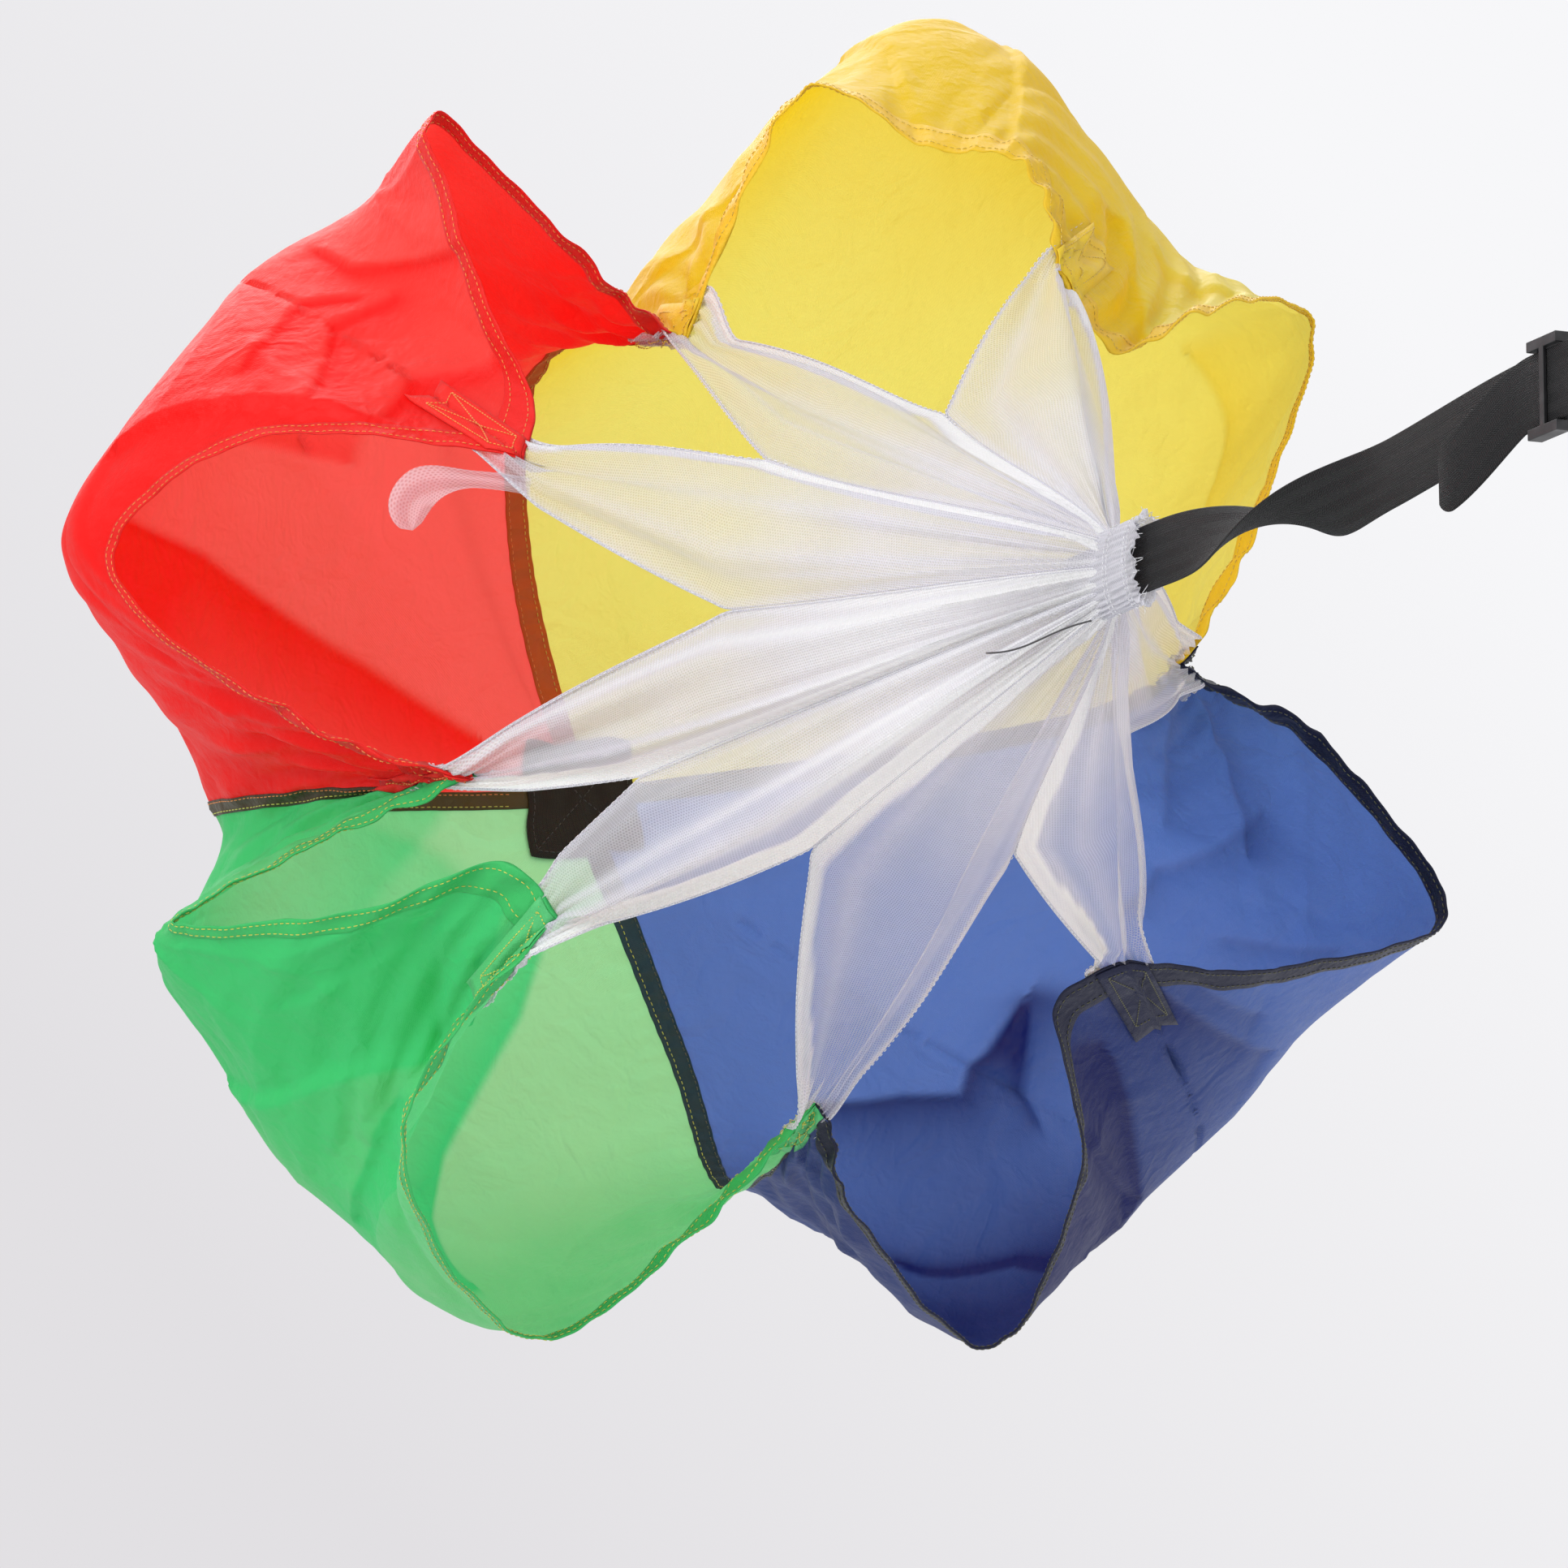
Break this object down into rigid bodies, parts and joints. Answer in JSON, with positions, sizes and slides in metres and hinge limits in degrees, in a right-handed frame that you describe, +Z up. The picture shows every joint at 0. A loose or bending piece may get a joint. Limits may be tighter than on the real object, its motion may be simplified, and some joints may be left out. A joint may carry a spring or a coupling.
{
  "type": "speed parachute",
  "caption": "Running resistance parachute: an inflated multicoloured square canopy with a mesh cone, a tow strap on a D-ring and a padded waist belt with a side-release buckle.",
  "frame": {"origin": "centre of the back pad's flat inner face, where it lies against the runner's back", "axes": "+X forward, the way the runner pulls; +Y to the runner's left; +Z up"},
  "size_m": [1.8034, 0.8639, 0.8587],
  "materials": {
    "red": "thin shiny nylon",
    "green": "thin shiny nylon",
    "blue": "thin shiny nylon",
    "yellow": "thin shiny nylon",
    "white_mesh": "fine white polyester net",
    "black_webbing": "woven webbing, matt",
    "black_plastic": "moulded, satin",
    "steel": "plated, satin",
    "foam": "closed-cell foam, matt",
    "red_green": "two nylon layers, sewn",
    "green_blue": "two nylon layers, sewn",
    "blue_yellow": "two nylon layers, sewn",
    "yellow_red": "two nylon layers, sewn"
  },
  "bodies": {
    "belt": {"pad_lining": "black_webbing", "pad_foam": "foam", "pad_backing": "black_webbing", "pad_binding": "black_webbing", "ring_keeper": "black_webbing", "belt_webbing_left": "black_webbing", "buckle_socket": "black_plastic"},
    "ring": {"tow_ring": "steel"},
    "chute": {"canopy_red": "red", "hem_red": "red", "canopy_green": "green", "hem_green": "green", "canopy_blue": "blue", "hem_blue": "blue", "canopy_yellow": "yellow", "hem_yellow": "yellow", "seam_yellow_red": "yellow_red", "seam_red_green": "red_green", "seam_green_blue": "green_blue", "seam_blue_yellow": "blue_yellow", "centre_patch_inside": "black_webbing", "centre_patch_outside": "black_webbing", "tab_patch_a": "yellow", "mesh_tongue_a": "white_mesh", "tab_patch_b": "red", "mesh_tongue_b": "white_mesh", "tab_patch_c": "red", "mesh_tongue_c": "white_mesh", "tab_patch_d": "green", "mesh_tongue_d": "white_mesh", "tab_patch_e": "green", "mesh_tongue_e": "white_mesh", "tab_patch_f": "blue", "mesh_tongue_f": "white_mesh", "tab_patch_g": "blue", "mesh_tongue_g": "white_mesh", "tab_patch_h": "yellow", "mesh_tongue_h": "white_mesh", "mesh_collar": "white_mesh", "tow_strap": "black_webbing"},
    "adjuster": {"strap_adjuster": "black_plastic"},
    "belt_half": {"belt_webbing_right": "black_webbing", "buckle_plug": "black_plastic"},
    "prong_up": {"prong_upper": "black_plastic"},
    "prong_low": {"prong_lower": "black_plastic"},
    "keeper": {"tail_keeper": "black_webbing"}
  },
  "joints": [
    {"name": "ring_yaw", "type": "hinge", "parent": "belt", "child": "ring", "pos_m": [-0.0142, 0, 0], "axis": [0, 0, 1], "range_deg": [-60, 60], "stiffness_Nm_per_rad": 5},
    {"name": "tow_pitch", "type": "hinge", "parent": "ring", "child": "chute", "pos_m": [-0.0142, 0, 0], "axis": [0, 1, 0], "range_deg": [-45, 45], "stiffness_Nm_per_rad": 60, "springref_deg": 5.44},
    {"name": "adjuster_slide", "type": "slide", "parent": "chute", "child": "adjuster", "axis": [1, 0, 0], "range_m": [0, 0.12]},
    {"name": "belt_open", "type": "hinge", "parent": "belt", "child": "belt_half", "pos_m": [-0.01065, -0.08, 0], "axis": [0, 0, -1], "range_deg": [0, 75]},
    {"name": "prong_upper_squeeze", "type": "hinge", "parent": "belt_half", "child": "prong_up", "pos_m": [0.215, -0.08, 0.01235], "axis": [-1, 0, 0], "range_deg": [0, 11.5], "stiffness_Nm_per_rad": 0.1},
    {"name": "prong_lower_squeeze", "type": "hinge", "parent": "belt_half", "child": "prong_low", "pos_m": [0.215, -0.08, -0.01235], "axis": [1, 0, 0], "range_deg": [0, 11.5], "stiffness_Nm_per_rad": 0.1},
    {"name": "keeper_slide", "type": "slide", "parent": "belt", "child": "keeper", "axis": [1, 0, 0], "range_m": [-0.026, 0.026]}
  ],
  "couplings": [
    {"joint": "prong_lower_squeeze", "follows": "prong_upper_squeeze", "ratio": 1}
  ]
}
